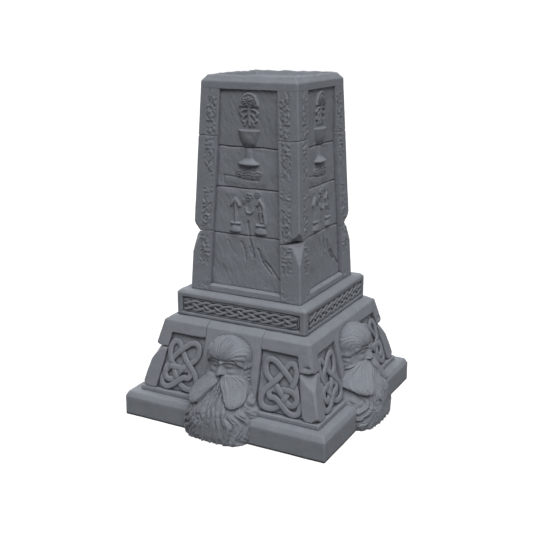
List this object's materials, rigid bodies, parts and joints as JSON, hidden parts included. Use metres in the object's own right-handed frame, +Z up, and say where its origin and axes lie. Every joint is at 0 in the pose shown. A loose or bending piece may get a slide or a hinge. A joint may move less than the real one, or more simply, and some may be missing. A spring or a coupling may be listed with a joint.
{
  "type": "carved stone pillar monument",
  "caption": "Free-standing tapering stone pillar with sunk carved faces, on a battered pedestal with knotwork panels and a bearded head on each side.",
  "frame": {"origin": "on the ground, under the centre of the base slab", "axes": "+Z up the pillar, -Y towards the front, +X to the right seen from the front"},
  "size_m": [2.2848, 2.2848, 3.034],
  "materials": {
    "stone": "dressed and weathered fine-grained dark grey stone",
    "carved_stone": "carved and weathered fine-grained dark grey stone",
    "core_stone": "rough-dressed dark grey stone"
  },
  "bodies": {
    "root": {"base_slab": "stone", "step_course": "stone", "pedestal_core": "core_stone", "front_knot_panels": "stone", "right_knot_panels": "stone", "back_knot_panels": "stone", "left_knot_panels": "stone", "front_pilaster": "stone", "right_pilaster": "stone", "back_pilaster": "stone", "left_pilaster": "stone", "front_right_pier": "stone", "back_right_pier": "stone", "back_left_pier": "stone", "front_left_pier": "stone", "front_right_capstone": "stone", "back_right_capstone": "stone", "back_left_capstone": "stone", "front_left_capstone": "stone", "front_bearded_head": "carved_stone", "right_bearded_head": "carved_stone", "back_bearded_head": "carved_stone", "left_bearded_head": "carved_stone", "band_block": "stone", "shaft_core": "core_stone", "shaft_sills": "stone", "front_right_post_lower": "stone", "back_right_post_lower": "stone", "back_left_post_lower": "stone", "front_left_post_lower": "stone", "front_right_post_middle": "stone", "back_right_post_middle": "stone", "back_left_post_middle": "stone", "front_left_post_middle": "stone", "front_right_post_upper": "stone", "back_right_post_upper": "stone", "back_left_post_upper": "stone", "front_left_post_upper": "stone", "front_shaft_face": "stone", "right_shaft_face": "stone", "back_shaft_face": "stone", "left_shaft_face": "stone", "shaft_cap": "stone"}
  },
  "joints": []
}
